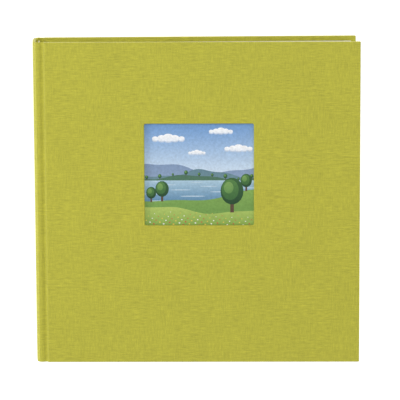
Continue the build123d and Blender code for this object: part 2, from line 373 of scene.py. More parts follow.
# %% The section of one half of the case
SHOULDER_AT = (HINGE_BACK.x - SPINE_X, HINGE_BACK.z)
SHOULDER = SHOULDER_AT[1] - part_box("spine_cloth")[0].z
SPINE_BULGE = SHOULDER_AT[0] - SHOULDER
BOARD_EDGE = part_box("back_board")[0].x - CLOTH - SPINE_X
COVER_WIDE = [flat_reach(node) - SPINE_X for node in ("back_cloth", "front_cloth")]
SPINE_STRIP_DEPTH = 2.8 * MM
SHOULDER_FLAT = 0.2
GROOVE_CLOTH_DEPTH = 0.85 * MM
GROOVE = [(0.0, 0.15), (0.9, 0.0), (1.7, 0.0), (2.6, 0.1), (3.5, 0.42), (4.4, 0.82), (5.3, 0.98),
          (6.2, 0.86), (6.9, 0.4), (7.3, -0.3), (7.7, -0.68), (8.4, -0.8), (9.3, -0.8)]


def smooth_share(value, low, high):
    t = min(1.0, max(0.0, (value - low) / (high - low)))
    return t * t * (3 - 2 * t)


def smooth_through(points, steps):
    """Catmull-Rom points through the given ones."""
    ends = [points[0]] + list(points) + [points[-1]]
    made = []
    for i in range(1, len(ends) - 2):
        a, b, c, d = (Vector(p) for p in ends[i - 1:i + 3])
        for k in range(steps):
            t = k / steps
            made.append(0.5 * (2 * b + (c - a) * t + (2 * a - 5 * b + 4 * c - d) * t ** 2
                               + (3 * b - a - 3 * c + d) * t ** 3))
    return made + [Vector(points[-1])]


def spine_section():
    """Points (x, z) from the middle of the spine round its shoulder and through the groove."""
    half_tall = SPINE_TALL / 2 - SHOULDER_AT[1]
    radius = (half_tall ** 2 + SPINE_BULGE ** 2) / (2 * SPINE_BULGE)
    section = []
    for k in range(7):
        down = half_tall * k / 6
        section.append(Vector((radius - math.sqrt(radius ** 2 - down ** 2), SPINE_TALL / 2 - down)))
    for k in range(1, 10):
        angle = math.radians(180 + 10 * k)
        flatter = 1 - SHOULDER_FLAT * math.sin(2 * angle) ** 2
        section.append(Vector((SHOULDER_AT[0] + SHOULDER * flatter * math.cos(angle),
                               SHOULDER_AT[1] + SHOULDER * flatter * math.sin(angle))))
    foot = section.pop()
    groove = [(foot.x + x * MM, foot.y + z * MM) for x, z in GROOVE]
    return section + smooth_through(groove, 3)


SECTION = spine_section()
print("section has", len(SECTION), "points, ends at", [round(v / MM, 2) for v in SECTION[-1]])

# %% [markdown]
# The flat part of the cover needs lines of points across and along it. Most are a few
# millimetres apart. Close to the window's corners they crowd together, so that the small
# round corners get points of their own.

# %% Lines across the flat of the cover
EDGE_ROUND = 0.5 * MM
PLAN_CORNER = 0.7 * MM
WINDOW_CORNER = 1.2 * MM
WINDOW_FRAME = 1.5 * MM
FLAT_START = SECTION[-1].x
FLAT_END = [wide - PLAN_CORNER for wide in COVER_WIDE]
FLAT_HALF = HALF - PLAN_CORNER


def spaced(low, high, step):
    count = max(1, round((high - low) / step))
    return [low + (high - low) * i / count for i in range(count)]


def lines_with_window(low, high, window_low, window_high):
    """Line places from low to high that crowd at the two ends of the window."""
    crowd = [-WINDOW_FRAME, 0.25 * MM, 0.6 * MM, 1.2 * MM, 2.4 * MM]
    near = [window_low + c for c in crowd]
    far = [window_high - c for c in reversed(crowd)]
    lines = spaced(low, near[0], 6 * MM) + near + spaced(near[-1], far[0], 6 * MM)[1:] + far
    return lines + spaced(far[-1], high, 6 * MM)[1:] + [high]


ACROSS = [lines_with_window(FLAT_START, end, WINDOW_LOW.x - SPINE_X, WINDOW_HIGH.x - SPINE_X)
          for end in FLAT_END]
ALONG = lines_with_window(-FLAT_HALF, FLAT_HALF, WINDOW_LOW.y, WINDOW_HIGH.y)
print(len(ACROSS[1]), "lines across and", len(ALONG), "along")

# %% [markdown]
# Over an edge the cloth goes out round the board's edge, down its side and back in under it.
# `edge_turn` lists that path once, as steps of how far out, how deep and how much cloth has
# been used, and every edge of the cover uses the same steps.


# %% The path of the cloth over an edge
def edge_turn(depth):
    path = [(0.0, 0.0), (PLAN_CORNER - EDGE_ROUND, 0.0)]
    for k in range(1, 7):
        a = math.radians(15 * k)
        path.append((PLAN_CORNER - EDGE_ROUND + EDGE_ROUND * math.sin(a), EDGE_ROUND * (1 - math.cos(a))))
    inner = 0.5 * MM
    for k in range(4):
        a = math.radians(30 * k)
        path.append((PLAN_CORNER - inner * (1 - math.cos(a)), depth - inner + inner * math.sin(a)))
    path.append((0.0, depth))
    used, steps = 0.0, [(0.0, 0.0, 0.0)]
    for before, now in zip(path, path[1:]):
        used += math.dist(before, now)
        steps.append((now[0], now[1], used))
    return steps


TURN = edge_turn(COVER_INNER)
TURN_IN = [4.0 * MM, 9.0 * MM, 15.0 * MM]
print("an edge takes", round(TURN[-1][2] / MM, 2), "mm of cloth in", len(TURN), "steps")

# %% [markdown]
# Now the mesh. A patch is a grid of places, each with its place on the flat cloth, and the
# half case is a handful of patches: the main face, the turned head, tail and fore-edge, and a
# small fan at each corner. Points that patches share are merged at the end.


# %% Patches of cloth
def add_patch(mesh, uv_layer, rows, keep=None):
    """Quads between rows of (place, cloth place); keep tells which quads are wanted."""
    verts = [[mesh.verts.new(place) for place, _ in row] for row in rows]
    for i in range(len(rows) - 1):
        for j in range(len(rows[i]) - 1):
            if keep and not keep(i, j):
                continue
            corners = [(i, j), (i + 1, j), (i + 1, j + 1), (i, j + 1)]
            face = mesh.faces.new([verts[a][b] for a, b in corners])
            for loop, (a, b) in zip(face.loops, corners):
                loop[uv_layer].uv = rows[a][b][1]


def section_points(front):
    """Every point of the whole section with its inward direction, depth and cloth used."""
    points = SECTION + [Vector((x, 0.0)) for x in ACROSS[front][1:]]
    made, used = [], 0.0
    for i, point in enumerate(points):
        before, after = points[max(0, i - 1)], points[min(len(points) - 1, i + 1)]
        run = (after - before).normalized()
        used += (point - points[i - 1]).length if i else 0.0
        thin = smooth_share(point.x, 3.0 * MM, 5.0 * MM)
        thick = smooth_share(point.x, BOARD_EDGE - 0.8 * MM, BOARD_EDGE + 0.5 * MM)
        depth = SPINE_STRIP_DEPTH + (GROOVE_CLOTH_DEPTH - SPINE_STRIP_DEPTH) * thin
        depth += (COVER_INNER - GROOVE_CLOTH_DEPTH) * thick
        inward = Vector((-run.y, run.x)).lerp(Vector((0, 1)), smooth_share(point.x, 9.5 * MM, 11.0 * MM))
        made.append((point, inward.normalized(), depth / COVER_INNER, used))
    return made


JOINT_NEAR, JOINT_FAR = 5.0 * MM, 10.2 * MM


def place_on_case(x, y, depth, front):
    """A place given on the flat back cover, on either side of the album."""
    ripple = 0.00005 * noise.noise(Vector((x * 45, y * 45, 3.0 * front))) if depth < 1e-6 else 0.0
    if not front:
        return Vector((SPINE_X + x, y, max(0.0, depth + ripple)))
    flat = Vector((SPINE_X + x, y, SPINE_TALL - depth + ripple))
    return lift_point(flat, smooth_share(x, JOINT_NEAR, JOINT_FAR))


print("patch helpers ready")

# %% [markdown]
# The window needs its own rings of cloth: from the flat round its edge, down the cut wall of
# the board, and out under it. Each ring is a rectangle with round corners, found by pulling
# the hole's own points onto it, so it always has as many points as the hole.


# %% Cloth round the window
def window_rings(front_cloth_depth):
    rings = [(0.6 * MM, 0.0)]
    for k in range(1, 7):
        a = math.radians(15 * k)
        rings.append((0.6 * MM * (1 - math.sin(a)), 0.6 * MM * (1 - math.cos(a))))
    rings += [(0.02 * MM, 1.5 * MM), (0.0, front_cloth_depth - 0.25 * MM),
              (0.1 * MM, front_cloth_depth - 0.05 * MM), (0.4 * MM, front_cloth_depth),
              (5.0 * MM, front_cloth_depth)]
    return rings


def pulled_to_ring(point, centre, hole, window, outset):
    """The place on a ring, a given way outside the window's edge, for a point of the hole."""
    sizes = [window[i] / 2 + outset for i in (0, 1)]
    radius = WINDOW_CORNER + outset
    out = [(point[i] - centre[i]) * sizes[i] / (hole[i] / 2) for i in (0, 1)]
    core = [max(-(sizes[i] - radius), min(sizes[i] - radius, out[i])) for i in (0, 1)]
    away = Vector((out[0] - core[0], out[1] - core[1]))
    if away.length > 1e-9:
        away = away.normalized() * radius
    return centre[0] + core[0] + away.x, centre[1] + core[1] + away.y


def window_patch(mesh, uv_layer, cloth_at):
    low = (WINDOW_LOW.x - SPINE_X, WINDOW_LOW.y)
    high = (WINDOW_HIGH.x - SPINE_X, WINDOW_HIGH.y)
    centre = [(low[i] + high[i]) / 2 for i in (0, 1)]
    window = [high[i] - low[i] for i in (0, 1)]
    hole = [side + 2 * WINDOW_FRAME for side in window]
    xs = [x for x in ACROSS[1] if low[0] - 2 * MM < x < high[0] + 2 * MM]
    ys = [y for y in ALONG if low[1] - 2 * MM < y < high[1] + 2 * MM]
    around = [(x, ys[0]) for x in xs] + [(xs[-1], y) for y in ys[1:]]
    around += [(x, ys[-1]) for x in reversed(xs[:-1])] + [(xs[0], y) for y in reversed(ys[:-1])]
    rows, used, before = [], 0.0, (WINDOW_FRAME, 0.0)
    for outset, depth in [before] + window_rings(PICTURE_DEPTH):
        used += math.dist(before, (outset, depth))
        before = (outset, depth)
        row = []
        for point in around:
            x, y = point if not rows else pulled_to_ring(point, centre, hole, window, outset)
            inward = Vector((centre[0] - point[0], 0.0))
            if abs(point[1] - centre[1]) * window[0] > abs(point[0] - centre[0]) * window[1]:
                inward = Vector((0.0, centre[1] - point[1]))
            inward = inward.normalized() * used if inward.length > 0 else inward
            on_cloth = (cloth_at + point[0] + inward.x, point[1] + inward.y)
            row.append((place_on_case(x, y, depth, True), on_cloth))
        rows.append(row)
    add_patch(mesh, uv_layer, rows)


PICTURE_DEPTH = SPINE_TALL - PICTURE_HIGH.z
print("the picture lies", round(PICTURE_DEPTH / MM, 2), "mm below the cloth")

# %% [markdown]
# With the helpers in hand, one function makes either half of the case. The Solidify modifier
# then gives the sheet the thickness of real book cloth, inwards, so that its outside stays
# exactly where we drew it.


# %% One half of the case cloth
def half_case(name, front):
    mesh = bmesh.new()
    uv_layer = mesh.loops.layers.uv.new("cloth")
    section = section_points(front)
    wide, flat_end = COVER_WIDE[front], FLAT_END[front]
    cloth_at = section[-1][3] - section[-1][0].x
    at_case = place_on_case

    def in_hole(x, y):
        return (front and WINDOW_LOW.x - SPINE_X - WINDOW_FRAME < x < WINDOW_HIGH.x - SPINE_X + WINDOW_FRAME
                and WINDOW_LOW.y - WINDOW_FRAME < y < WINDOW_HIGH.y + WINDOW_FRAME)

    def wanted(i, j):
        x = (section[i][0].x + section[min(i + 1, len(section) - 1)][0].x) / 2
        return not in_hole(x, (ALONG[j] + ALONG[j + 1]) / 2)

    face = [[(at_case(p.x, y, p.y, front), (used, y)) for y in ALONG] for p, _, _, used in section]
    add_patch(mesh, uv_layer, face, wanted)

    for end in (-1, 1):
        rows = []
        for p, inward, share, used in section:
            row = []
            for out, depth, taken in TURN:
                q = p + inward * (depth * share)
                on_cloth = (used, end * (FLAT_HALF + taken))
                row.append((at_case(q.x, end * (FLAT_HALF + out), q.y, front), on_cloth))
            for inset in TURN_IN:
                q = p + inward * (COVER_INNER * share)
                x = min(q.x, wide - inset) if p.x > BOARD_EDGE else q.x
                taken = TURN[-1][2] + inset - PLAN_CORNER
                row.append((at_case(x, end * (HALF - inset), q.y, front), (used, end * (FLAT_HALF + taken))))
            rows.append(row)
        add_patch(mesh, uv_layer, rows)

    rows = []
    for y in ALONG:
        row = [(at_case(flat_end + out, y, depth, front), (cloth_at + flat_end + taken, y))
               for out, depth, taken in TURN]
        for inset in TURN_IN:
            held = max(-(HALF - inset), min(HALF - inset, y))
            taken = TURN[-1][2] + inset - PLAN_CORNER
            row.append((at_case(wide - inset, held, COVER_INNER, front),
                        (cloth_at + flat_end + taken, y)))
        rows.append(row)
    add_patch(mesh, uv_layer, rows)

    for end in (-1, 1):
        rows = []
        for out, depth, taken in TURN:
            row = []
            for k in range(7):
                a = math.radians(15 * k)
                x, y = flat_end + out * math.cos(a), end * (FLAT_HALF + out * math.sin(a))
                cloth_x = cloth_at + flat_end + taken * math.cos(a)
                cloth_y = end * (FLAT_HALF + taken * math.sin(a))
                row.append((at_case(x, y, depth, front), (cloth_x, cloth_y)))
            rows.append(row)
        add_patch(mesh, uv_layer, rows)
    if front:
        window_patch(mesh, uv_layer, cloth_at)

    bmesh.ops.remove_doubles(mesh, verts=mesh.verts, dist=0.000002)
    bmesh.ops.dissolve_degenerate(mesh, dist=0.000001, edges=mesh.edges)
    bmesh.ops.recalc_face_normals(mesh, faces=mesh.faces)
    data = bpy.data.meshes.new(name)
    mesh.to_mesh(data)
    mesh.free()
    return data


def add_piece(name, data, material, smooth=True):
    piece = bpy.data.objects.new(name, data)
    bpy.context.scene.collection.objects.link(piece)
    if material and not data.materials:
        data.materials.append(material)
    if smooth:
        data.shade_smooth()
    return piece


def outward(data, front):
    """Turns the sheet's faces so that its outside shows, judged by one face on the cover."""
    on_cover = Vector((0.06, 0.1, 0.04 if front else 0.0))
    face = min(data.polygons, key=lambda f: (f.center - on_cover).length)
    if (face.normal.z > 0) != front:
        data.flip_normals()


def finished(piece):
    """The piece's mesh with its modifiers applied."""
    graph = bpy.context.evaluated_depsgraph_get()
    data = bpy.data.meshes.new_from_object(piece.evaluated_get(graph))
    piece.modifiers.clear()
    piece.data = data
    return piece


LINEN_THICK = 0.34 * MM
SHARP_TURN = math.radians(50)
CLOTH_HALVES = (("case_cloth_back", False, "back_cover"), ("case_cloth_front", True, "front_cover"))
for name, front, cover in CLOTH_HALVES:
    data = half_case(name, front)
    outward(data, front)
    cloth = add_piece(name, data, GREEN_LINEN)
    wall = cloth.modifiers.new("cloth thickness", "SOLIDIFY")
    wall.thickness = LINEN_THICK
    wall.offset = -1.0
    bpy.context.view_layer.update()
    cloth = finished(cloth)
    cloth.data.set_sharp_from_angle(angle=SHARP_TURN)
    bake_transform(cloth)
    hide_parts("spine_cloth", cover.replace("_cover", "_cloth"))
    print(name, len(cloth.data.polygons), "faces")

# %% [markdown]
# ## Leaves, made by one node tree
# The album holds twenty card leaves, a glassine sheet in front of each, and a free endpaper at
# either end. They all have the same shape: a bound margin, a fold with a scored crease, and a
# flat page that leans a little. Twenty modelled copies would be twenty chances for a mistake,
# so we write the rule once as a Geometry Nodes tree and only change its inputs. The columns of
# the grid crowd round the fold, because that is where the sheet bends when the album opens.
# The glassine starts a little beyond the fold, to stay clear of the next leaf's bend.


# %% Geometry Nodes: one sheet of the album
def new_tree(name, sockets):
    """An empty Geometry Nodes tree with named inputs and one geometry output."""
    tree = bpy.data.node_groups.new(name, "GeometryNodeTree")
    tree.interface.new_socket("Geometry", in_out="OUTPUT", socket_type="NodeSocketGeometry")
    for label, kind in sockets:
        tree.interface.new_socket(label, in_out="INPUT", socket_type=kind)
    given = tree.nodes.new("NodeGroupInput").outputs
    out = tree.nodes.new("NodeGroupOutput").inputs
    return tree, given, out


def mapped(tree, value, low, high, to_low, to_high):
    return add_node(tree, "ShaderNodeMapRange", {0: value, 1: low, 2: high, 3: to_low, 4: to_high}).outputs[0]


def end_tree(tree, geometry_socket, material_socket, out):
    real = add_node(tree, "GeometryNodeRealizeInstances", {0: geometry_socket})
    painted = add_node(tree, "GeometryNodeSetMaterial", {
        "Geometry": real.outputs[0], "Material": material_socket})
    tree.links.new(painted.outputs[0], out["Geometry"])


FLOAT = "NodeSocketFloat"
BEND_BEFORE, BEND_AFTER = 0.5 * MM, 3.0 * MM


def sheet_tree():
    tree, given, out = new_tree("Album sheet", [
        ("Start", FLOAT), ("End", FLOAT), ("Half height", FLOAT), ("Fold", FLOAT), ("Level", FLOAT),
        ("Tilt", FLOAT), ("Thickness", FLOAT), ("Wave", FLOAT), ("Crease", FLOAT), ("Seed", FLOAT),
        ("Material", "NodeSocketMaterial")])
    high = maths(tree, "MULTIPLY", given["Half height"], 2.0)
    grid = add_node(tree, "GeometryNodeMeshGrid", {
        "Size X": 1.0, "Size Y": high, "Vertices X": 61, "Vertices Y": 21})
    position = tree.nodes.new("GeometryNodeInputPosition").outputs[0]
    place = add_node(tree, "ShaderNodeSeparateXYZ", {0: position})
    t = maths(tree, "ADD", place.outputs[0], 0.5)
    margin = maths(tree, "SUBTRACT", maths(tree, "SUBTRACT", given["Fold"], BEND_BEFORE), given["Start"])
    page = maths(tree, "SUBTRACT", maths(tree, "SUBTRACT", given["End"], BEND_AFTER), given["Fold"])
    x = maths(tree, "ADD", given["Start"], mapped(tree, t, 0.0, 0.1, 0.0, margin))
    x = maths(tree, "ADD", x, mapped(tree, t, 0.1, 0.35, 0.0, BEND_BEFORE + BEND_AFTER))
    x = maths(tree, "ADD", x, mapped(tree, t, 0.35, 1.0, 0.0, page))
    run = maths(tree, "SUBTRACT", x, given["Fold"])
    bound = maths(tree, "MINIMUM", run, 0.0)
    free = maths(tree, "MAXIMUM", run, 0.0)
    level = maths(tree, "MULTIPLY_ADD", free, maths(tree, "SINE", given["Tilt"]), given["Level"])
    reach = maths(tree, "MULTIPLY_ADD", free, maths(tree, "COSINE", given["Tilt"]),
                  maths(tree, "ADD", given["Fold"], bound))
    score = maths(tree, "MULTIPLY", maths(tree, "SUBTRACT", run, 1.3 * MM), 1 / (0.45 * MM))
    score = maths(tree, "EXPONENT", maths(tree, "MULTIPLY", maths(tree, "MULTIPLY", score, score), -1.0))
    level = maths(tree, "SUBTRACT", level, maths(tree, "MULTIPLY", score, given["Crease"]))
    seed = add_node(tree, "ShaderNodeCombineXYZ", {0: x, 1: place.outputs[1], 2: given["Seed"]})
    swell = add_node(tree, "ShaderNodeTexNoise", {"Vector": seed.outputs[0], "Scale": 9.0, "Detail": 1.0})
    swell = maths(tree, "SUBTRACT", swell.outputs[0], 0.5)
    loose = mapped(tree, free, 10 * MM, 120 * MM, 0.0, 1.0)
    swell = maths(tree, "MULTIPLY", maths(tree, "MULTIPLY", swell, given["Wave"]), loose)
    level = maths(tree, "ADD", level, swell)
    target = add_node(tree, "ShaderNodeCombineXYZ", {0: reach, 1: place.outputs[1], 2: level})
    moved = add_node(tree, "GeometryNodeSetPosition", {
        "Geometry": grid.outputs[0], "Position": target.outputs[0]})
    upper = add_node(tree, "GeometryNodeExtrudeMesh", {
        "Mesh": moved.outputs[0], "Offset": (0.0, 0.0, 1.0), "Offset Scale": given["Thickness"],
        "Individual": False})
    lower = add_node(tree, "GeometryNodeFlipFaces", {0: moved.outputs[0]})
    both = add_node(tree, "GeometryNodeJoinGeometry")
    tree.links.new(upper.outputs[0], both.inputs[0])
    tree.links.new(lower.outputs[0], both.inputs[0])
    closed = add_node(tree, "GeometryNodeMergeByDistance", {
        "Geometry": both.outputs[0], "Distance": 0.000001})
    end_tree(tree, closed.outputs[0], given["Material"], out)
    return tree


def grown(name, tree, values):
    """A piece grown by a tree with the given inputs, turned into a plain mesh."""
    piece = add_piece(name, bpy.data.meshes.new(name), None, smooth=False)
    modifier = piece.modifiers.new("grow", "NODES")
    modifier.node_group = tree
    sockets = {item.name: item.identifier for item in tree.interface.items_tree if item.in_out == "INPUT"}
    for label, value in values.items():
        modifier[sockets[label]] = value
    bpy.context.view_layer.update()
    piece = finished(piece)
    piece.data.shade_smooth()
    piece.data.set_sharp_from_angle(angle=math.radians(35))
    return piece


SHEET = sheet_tree()
print("sheet tree with", len(SHEET.nodes), "nodes")

# %% [markdown]
# Each sheet reads its fold from its own hinge. The block stands between the two flyleaves, and
# the sheets lean more and more from the level back one to the front one, which leans as much as
# the front cover.

# %% Card leaves, glassine and flyleaves
BLOCK_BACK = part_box("leaf_stubs")[0].x
LEAF_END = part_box("back_flyleaf")[1].x
LEAF_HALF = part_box("back_flyleaf")[1].y
LOW_LEVEL, HIGH_LEVEL = (hinges[f"{side}_flyleaf_turn"]["pos_m"][2] for side in ("back", "front"))
LEAF_THICK, GLASSINE_THICK, FLYLEAF_THICK = 0.45 * MM, 0.06 * MM, 0.25 * MM
VEIL_FOLD = 4.0 * MM


def lean(hinge):
    return LIFT * (hinges[hinge]["pos_m"][2] - LOW_LEVEL) / (HIGH_LEVEL - LOW_LEVEL)


def sheet_values(hinge, thickness, offset, material, **changes):
    fold, level = hinges[hinge]["pos_m"][0], hinges[hinge]["pos_m"][2]
    values = {"Start": BLOCK_BACK, "End": LEAF_END, "Half height": LEAF_HALF, "Fold": fold,
              "Level": level + offset, "Tilt": lean(hinge),
              "Thickness": thickness, "Wave": 0.35 * MM, "Crease": 0.12 * MM, "Seed": 4.0,
              "Material": material}
    values.update(changes)
    return values


def bend_at_fold(piece):
    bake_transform(piece)


draw = random.Random(11)
LEAVES = 20
for i in range(1, LEAVES + 1):
    hinge, body = f"leaf_turn_{i:02d}", f"leaf_{i:02d}"
    fold = hinges[hinge]["pos_m"][0]
    trim = draw.uniform(-0.25, 0.0) * MM
    card = grown(f"card_leaf_{i:02d}", SHEET, sheet_values(
        hinge, LEAF_THICK, -LEAF_THICK / 2, PHOTO_CARD, End=LEAF_END + trim, Seed=4.0 + 0.02 * i))
    bend_at_fold(card)
    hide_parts(body)
    veil = grown(f"glassine_sheet_{i:02d}", SHEET, sheet_values(
        hinge, GLASSINE_THICK, LEAF_THICK / 2 + 0.12 * MM + VEIL_FOLD * math.sin(lean(hinge)), GLASSINE,
        Start=fold + VEIL_FOLD - 0.6 * MM, Fold=fold + VEIL_FOLD, End=LEAF_END + trim - 0.5 * MM,
        Crease=0.0, Seed=4.0 + 0.02 * i, **{"Half height": LEAF_HALF - 0.4 * MM}))
    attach(veil, body)
    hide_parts(f"glassine_{i:02d}")
for side in ("back", "front"):
    hinge = f"{side}_flyleaf_turn"
    values = sheet_values(hinge, FLYLEAF_THICK, -FLYLEAF_THICK / 2, ENDPAPER)
    endpaper = grown(f"{side}_free_endpaper", SHEET, values)
    bend_at_fold(endpaper)
    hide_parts(f"{side}_flyleaf", "leaf_stubs")

# %% [markdown]
# ## The printed picture in the window
# Behind the window lies a glossy sample print, which the owner changes for one of their own,
# so any quiet landscape will do: a lake between hills under a summer sky. We don't use an
# image. We paint it with polygons instead, like paper cut-outs laid over one another, in a
# square that runs from 0 to 1 both ways across the window. Everything in it follows a
# formula: a hill is a sum of two waves, and a cloud or a treetop is a few discs.

# %% Painting helpers
CUTOUTS = []


def flat_share(place):
    return [(place[i] - WINDOW_LOW[i]) / (WINDOW_HIGH[i] - WINDOW_LOW[i]) for i in (0, 1)]


def share_flat(share, z):
    return Vector([WINDOW_LOW[i] + share[i] * (WINDOW_HIGH[i] - WINDOW_LOW[i]) for i in (0, 1)] + [z])


(PRINT_LEFT, PRINT_FOOT), (PRINT_RIGHT, PRINT_TOP) = flat_share(PICTURE_LOW), flat_share(PICTURE_HIGH)


def paint(corners, colour, low_colour=None):
    """A cut-out polygon. With two colours it fades from its top to its bottom."""
    CUTOUTS.append((corners, colour, low_colour or colour))


def band(low, high, colour, low_colour=None):
    """A cut-out across the whole print, for the sky and the water."""
    corners = [(PRINT_LEFT, low), (PRINT_RIGHT, low), (PRINT_RIGHT, high), (PRINT_LEFT, high)]
    paint(corners, colour, low_colour)


def disc(x, y, wide, tall, colour, low_colour=None, corners=18):
    """A flat ellipse, for a cloud, a treetop or a flower."""
    turns = [math.tau * i / corners for i in range(corners)]
    paint([(x + wide / 2 * math.cos(a), y + tall / 2 * math.sin(a)) for a in turns], colour, low_colour)


def hill_line(x, level, swell, waves, shift):
    """The height of a hill at x: a long wave with a shorter one on it."""
    long_wave = math.sin(math.tau * (waves * x + shift))
    return level + swell * (long_wave + 0.3 * math.sin(math.tau * (2.6 * waves * x + 3 * shift)))


def hill(shape, colour, low_colour, steps=48):
    """A cut-out that fills the print below a hill line."""
    across = [PRINT_LEFT + (PRINT_RIGHT - PRINT_LEFT) * i / steps for i in range(steps + 1)]
    ridge = [(x, hill_line(x, *shape)) for x in reversed(across)]
    paint([(PRINT_LEFT, PRINT_FOOT), (PRINT_RIGHT, PRINT_FOOT)] + ridge, colour, low_colour)


print("painting helpers ready")

# %% Sky and clouds
SKYLINE = 0.46
band(SKYLINE, PRINT_TOP, (92, 146, 214), (214, 230, 243))


def cloud(x, y, wide):
    """Five puffs in a row, the middle ones tallest, each with a shaded copy below it."""
    shaded = (0.012, (206, 219, 236), (190, 206, 228))
    lit = (0.0, (252, 252, 252), (232, 238, 246))
    for drop, top, low in (shaded, lit):
        for i in range(-2, 3):
            puff = 1 - 0.22 * abs(i)
            middle = (x + wide * i * 0.2, y - drop + 0.02 * puff)
            disc(*middle, wide * 0.34 * puff, wide * 0.26 * puff, top, low)


for x, y, wide in ((0.22, 0.84, 0.30), (0.70, 0.91, 0.22), (0.86, 0.74, 0.26), (0.48, 0.70, 0.16)):
    cloud(x, y, wide)
print(len(CUTOUTS), "cut-outs for the sky")

# %% Hills and lake
hill((0.56, 0.050, 0.90, 0.15), (126, 152, 190), (176, 196, 216))
hill((0.51, 0.035, 1.30, 0.55), (96, 134, 150), (150, 178, 176))
FAR_SHORE = (0.47, 0.022, 1.10, 0.80)
hill(FAR_SHORE, (74, 118, 92), (98, 142, 104))
LAKE_FAR, LAKE_NEAR = 0.44, 0.18
band(LAKE_NEAR, LAKE_FAR, (168, 202, 222), (70, 124, 168))
for i in range(14):
    nearness = i / 13
    y = LAKE_FAR - 0.012 - (LAKE_FAR - LAKE_NEAR - 0.02) * nearness ** 1.4
    x = (0.37 * i + 0.11) % 1.0
    disc(x, y, 0.10 + 0.20 * nearness, 0.004 + 0.006 * nearness, (200, 222, 234), corners=12)
NEAR_SHORE = (0.285, 0.055, 0.55, 0.62)
MEADOW = (0.150, 0.035, 0.80, 0.20)
hill(NEAR_SHORE, (128, 172, 74), (96, 146, 60))
hill(MEADOW, (176, 200, 88), (120, 162, 58))
print(len(CUTOUTS), "cut-outs with the hills and the lake")

# %% Trees and flowers


def tree(x, shape, tall):
    """A round tree that stands on a hill line: a trunk, then three discs lit from the left."""
    foot = hill_line(x, *shape) - 0.008
    trunk = tall * 0.05
    paint([(x - trunk, foot), (x + trunk, foot), (x + trunk, foot + tall / 2), (x - trunk, foot + tall / 2)],
          (96, 72, 54))
    crown = foot + tall * 0.62
    disc(x, crown, tall * 0.62, tall * 0.78, (56, 104, 54), (34, 76, 42))
    disc(x - tall * 0.05, crown + tall * 0.04, tall * 0.46, tall * 0.60, (84, 136, 64), (56, 108, 52))
    disc(x - tall * 0.09, crown + tall * 0.10, tall * 0.26, tall * 0.34, (122, 168, 82), (92, 144, 68))


for i in range(9):
    tree(0.02 + 0.12 * i, FAR_SHORE, 0.045 + 0.012 * math.sin(2.4 * i))
for x, tall in ((0.06, 0.15), (0.16, 0.20), (0.93, 0.17)):
    tree(x, NEAR_SHORE, tall)
tree(0.80, MEADOW, 0.34)

FLOWERS = 90
GOLDEN_SHARE = 0.618034
for i in range(FLOWERS):
    x = (GOLDEN_SHARE * i) % 1.0
    depth = ((i + 0.5) / FLOWERS) ** 0.8
    y = 0.12 - 0.16 * depth + 0.02 * math.sin(math.tau * 0.8 * x)
    petals = ((214, 66, 54), (236, 196, 66), (240, 236, 230))[i % 3]
    size = 0.007 + 0.013 * depth
    disc(x, y, size, size * 0.8, petals, corners=8)
print(len(CUTOUTS), "cut-outs in all")

# %% [markdown]
# Cut-outs that lie exactly on one another would flicker, and a stack of them would be thick.
# A print has one surface. `delaunay_2d_cdt` cuts all the polygons along each other's edges
# into one flat net of triangles, and tells which cut-outs each triangle belongs to. The one
# on top gives its colour. A back face and an edge all round then make it a closed sheet.


# %% The print as one sheet
# A print on paper is a little paler than its pure colours: 1 would keep them, 0 is grey.
PRINT_STRENGTH = 0.84


def blend_colour(cutout, y):
    corners, colour, low_colour = cutout
    low, high = min(c[1] for c in corners), max(c[1] for c in corners)
    share = min(1.0, max(0.0, (y - low) / (high - low)))
    mixed = [b + (a - b) * share for a, b in zip(colour, low_colour)]
    grey = 0.3 * mixed[0] + 0.59 * mixed[1] + 0.11 * mixed[2]
    return linear(*(grey + (value - grey) * PRINT_STRENGTH for value in mixed))


def clipped(corners, low, high):
    """A cut-out held inside the sheet and turned anticlockwise, as the cutter wants it."""
    held = [Vector((min(max(x, low[0]), high[0]), min(max(y, low[1]), high[1]))) for x, y in corners]
    area = sum(a.x * b.y - b.x * a.y for a, b in zip(held, held[1:] + held[:1])) / 2
    return held if area > 0 else held[::-1]


def printed_sheet(name):
    low, high = (PRINT_LEFT, PRINT_FOOT), (PRINT_RIGHT, PRINT_TOP)
    places = [Vector(corner) for corner in (low, (high[0], low[1]), high, (low[0], high[1]))]
    faces = [[0, 1, 2, 3]]
    for corners, _, _ in CUTOUTS:
        faces.append(list(range(len(places), len(places) + len(corners))))
        places += clipped(corners, low, high)
    points, _, triangles, _, _, owners = geometry.delaunay_2d_cdt(places, [], faces, 1, 1e-5)
    count = len(points)
    low, high = PICTURE_LOW.z, PICTURE_HIGH.z
    verts = [lift_point(share_flat(p, z)) for z in (high, low) for p in points]
    sides = {}
    for triangle in triangles:
        for a, b in zip(triangle, list(triangle[1:]) + [triangle[0]]):
            sides[(a, b)] = (b, a) not in sides
            if (b, a) in sides:
                sides[(b, a)] = False
    rims = [(b, a, a + count, b + count) for (a, b), open_edge in sides.items() if open_edge]
    tops = [tuple(t) for t in triangles]
    backs = [tuple(v + count for v in reversed(t)) for t in triangles]
    data = bpy.data.meshes.new(name)
    data.from_pydata(verts, [], tops + backs + rims)
    ink = data.color_attributes.new("ink", "FLOAT_COLOR", "CORNER")
    for face, owner in zip(data.polygons, owners):
        top = max(owner)
        for loop in face.loop_indices:
            y = points[data.loops[loop].vertex_index].y
            ink.data[loop].color = blend_colour(CUTOUTS[top - 1], y) if top else linear(200, 190, 180)
    for face in data.polygons[len(tops):]:
        for loop in face.loop_indices:
            ink.data[loop].color = linear(240, 240, 238)
    return data


